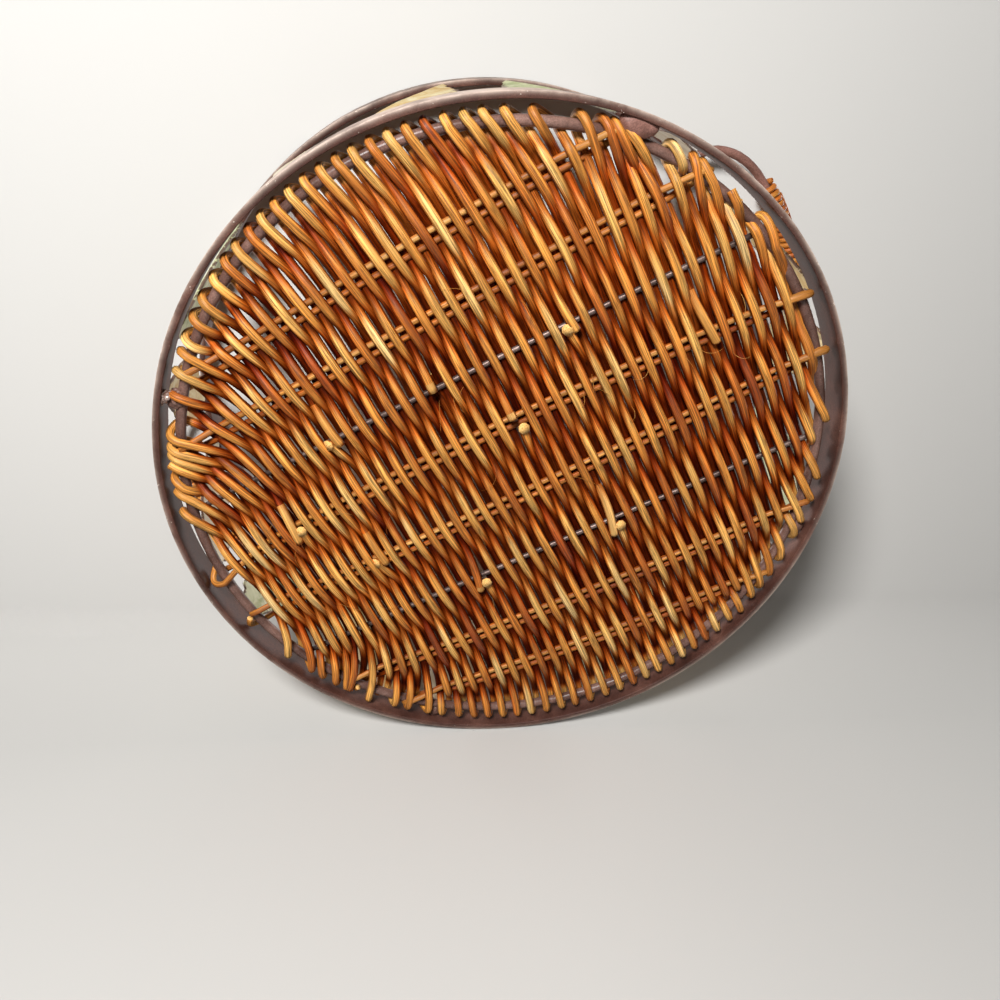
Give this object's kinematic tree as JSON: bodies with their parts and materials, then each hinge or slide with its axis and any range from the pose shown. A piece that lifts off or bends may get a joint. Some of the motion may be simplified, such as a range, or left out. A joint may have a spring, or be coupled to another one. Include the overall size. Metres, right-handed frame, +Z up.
{
  "type": "rattan basket",
  "caption": "Round steel-framed basket with a woven rattan base, a wall of painted leaf plates between two hoops, and rod side handles wound with cane.",
  "frame": {"origin": "on the surface the basket stands on, under the middle of its base", "axes": "+Z up out of the basket's mouth, +X along the base's stakes and through both handles"},
  "size_m": [0.4014, 0.34, 0.128],
  "materials": {
    "frame_paint": "bronze-brown paint, worn and chipped at the edges",
    "leaf_yellow": "rubbed yellow paint",
    "leaf_green": "rubbed pale green paint",
    "leaf_cream": "rubbed cream paint",
    "weaver_rattan": "honey-coloured round rattan, satin",
    "stake_rattan": "darker round rattan, satin",
    "grip_cane": "orange-brown wound cane, satin"
  },
  "bodies": {
    "root": {"lower_hoop": "frame_paint", "upper_hoop": "frame_paint", "base_ring": "frame_paint", "ring_weld_1": "frame_paint", "ring_weld_2": "frame_paint", "ring_weld_3": "frame_paint", "ring_weld_4": "frame_paint", "cross_rod_1": "frame_paint", "cross_rod_2": "frame_paint", "reed_stake_1": "stake_rattan", "reed_stake_2": "stake_rattan", "reed_stake_3": "stake_rattan", "reed_stake_4": "stake_rattan", "reed_stake_5": "stake_rattan", "reed_stake_6": "stake_rattan", "weaver_01": "weaver_rattan", "weaver_02": "weaver_rattan", "weaver_03": "weaver_rattan", "weaver_04": "weaver_rattan", "weaver_05": "weaver_rattan", "weaver_06": "weaver_rattan", "weaver_07": "weaver_rattan", "weaver_08": "weaver_rattan", "weaver_09": "weaver_rattan", "weaver_10": "weaver_rattan", "weaver_11": "weaver_rattan", "weaver_12": "weaver_rattan", "leaf_01": "leaf_yellow", "leaf_02": "leaf_green", "leaf_03": "leaf_cream", "leaf_04": "leaf_yellow", "leaf_05": "leaf_green", "leaf_06": "leaf_cream", "leaf_07": "leaf_yellow", "leaf_08": "leaf_green", "leaf_09": "leaf_cream", "leaf_10": "leaf_yellow", "leaf_11": "leaf_green", "leaf_12": "leaf_cream", "leaf_13": "leaf_yellow", "leaf_14": "leaf_green", "leaf_15": "leaf_cream", "leaf_16": "leaf_yellow", "handle_rod_front": "frame_paint", "grip_winding_front": "grip_cane", "handle_rod_back": "frame_paint", "grip_winding_back": "grip_cane"}
  },
  "joints": []
}
